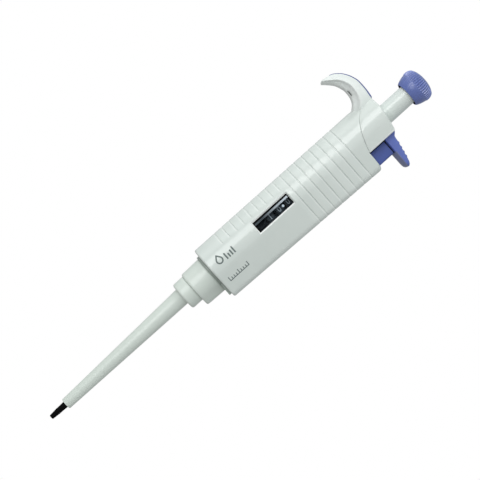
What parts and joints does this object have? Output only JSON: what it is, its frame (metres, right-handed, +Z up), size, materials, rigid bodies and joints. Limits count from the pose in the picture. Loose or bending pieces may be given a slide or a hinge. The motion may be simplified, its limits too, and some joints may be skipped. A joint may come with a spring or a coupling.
{
  "type": "micropipette",
  "caption": "Single-channel adjustable air-displacement pipette with thumb plunger, number wheel counter, finger hook and tip ejector.",
  "frame": {"origin": "the tip cone's lower end, on the plunger axis", "axes": "+Z up the plunger axis to the thumb knob, +X to the tip ejector, -X to the finger hook, -Y out of the counter window"},
  "size_m": [0.0573, 0.0258, 0.2392],
  "materials": {
    "white_plastic": "satin moulded",
    "blue_plastic": "satin moulded",
    "clear_plastic": "polished",
    "black_plastic": "moulded",
    "grey_plastic": "moulded",
    "wheel_plastic": "polished, with white numbers",
    "gear_plastic": "moulded acetal",
    "brass": "turned",
    "steel": "ground",
    "spring_steel": "drawn wire",
    "seal_rubber": "moulded",
    "seal_ptfe": "turned"
  },
  "bodies": {
    "handle": {"handle_shell": "white_plastic", "hook_cap": "white_plastic", "hook_inlay": "blue_plastic", "window_lens": "clear_plastic", "chassis": "black_plastic", "thread_nut": "brass", "stem_guide": "grey_plastic", "bottom_plate": "white_plastic", "barrel": "white_plastic", "barrel_nut": "grey_plastic", "tip_cone": "black_plastic", "piston_seal": "seal_ptfe", "o_ring": "seal_rubber", "seal_retainer": "steel", "pinion_shaft": "steel", "ejector_guide_pin": "steel", "main_spring": "spring_steel", "blowout_spring": "spring_steel", "ejector_spring": "spring_steel"},
    "volume_drive": {"volume_spindle": "brass", "tenths_wheel": "wheel_plastic"},
    "ones": {"ones_wheel": "wheel_plastic"},
    "tens": {"tens_wheel": "wheel_plastic"},
    "upper_carry": {"upper_pinion": "gear_plastic"},
    "lower_carry": {"lower_pinion": "gear_plastic"},
    "plunger": {"thumb_knob": "blue_plastic", "plunger_stem": "white_plastic", "drive_rod": "steel", "stop_collar": "steel", "piston_holder": "grey_plastic", "piston": "steel"},
    "ejector": {"ejector_button": "blue_plastic", "ejector_arm": "steel", "ejector_hood": "white_plastic", "ejector_sleeve": "white_plastic"}
  },
  "joints": [
    {"name": "volume_turn", "type": "hinge", "parent": "handle", "child": "volume_drive", "pos_m": [0, 0, 0.155], "axis": [0, 0, 1], "range_deg": [-3420, 0]},
    {"name": "plunger_press", "type": "slide", "parent": "volume_drive", "child": "plunger", "axis": [0, 0, 1], "range_m": [-0.013, 0], "deforming": ["main_spring", "blowout_spring"]},
    {"name": "ejector_press", "type": "slide", "parent": "handle", "child": "ejector", "axis": [0, 0, 1], "range_m": [-0.007, 0], "deforming": ["ejector_spring"]},
    {"name": "upper_carry_spin", "type": "hinge", "parent": "handle", "child": "upper_carry", "pos_m": [-0.00515, 0.00515, 0.1495], "axis": [0, 0, 1], "range_deg": [0, 855]},
    {"name": "ones_turn", "type": "hinge", "parent": "handle", "child": "ones", "pos_m": [0, 0, 0.1464], "axis": [0, 0, 1], "range_deg": [-342, 0]},
    {"name": "lower_carry_spin", "type": "hinge", "parent": "handle", "child": "lower_carry", "pos_m": [-0.00515, 0.00515, 0.144], "axis": [0, 0, 1], "range_deg": [0, 85.5]},
    {"name": "tens_turn", "type": "hinge", "parent": "handle", "child": "tens", "pos_m": [0, 0, 0.1409], "axis": [0, 0, 1], "range_deg": [-34.2, 0]}
  ],
  "couplings": [
    {"joint": "upper_carry_spin", "follows": "volume_turn", "ratio": -0.25},
    {"joint": "ones_turn", "follows": "volume_turn", "ratio": 0.1},
    {"joint": "lower_carry_spin", "follows": "volume_turn", "ratio": -0.025},
    {"joint": "tens_turn", "follows": "volume_turn", "ratio": 0.01}
  ]
}
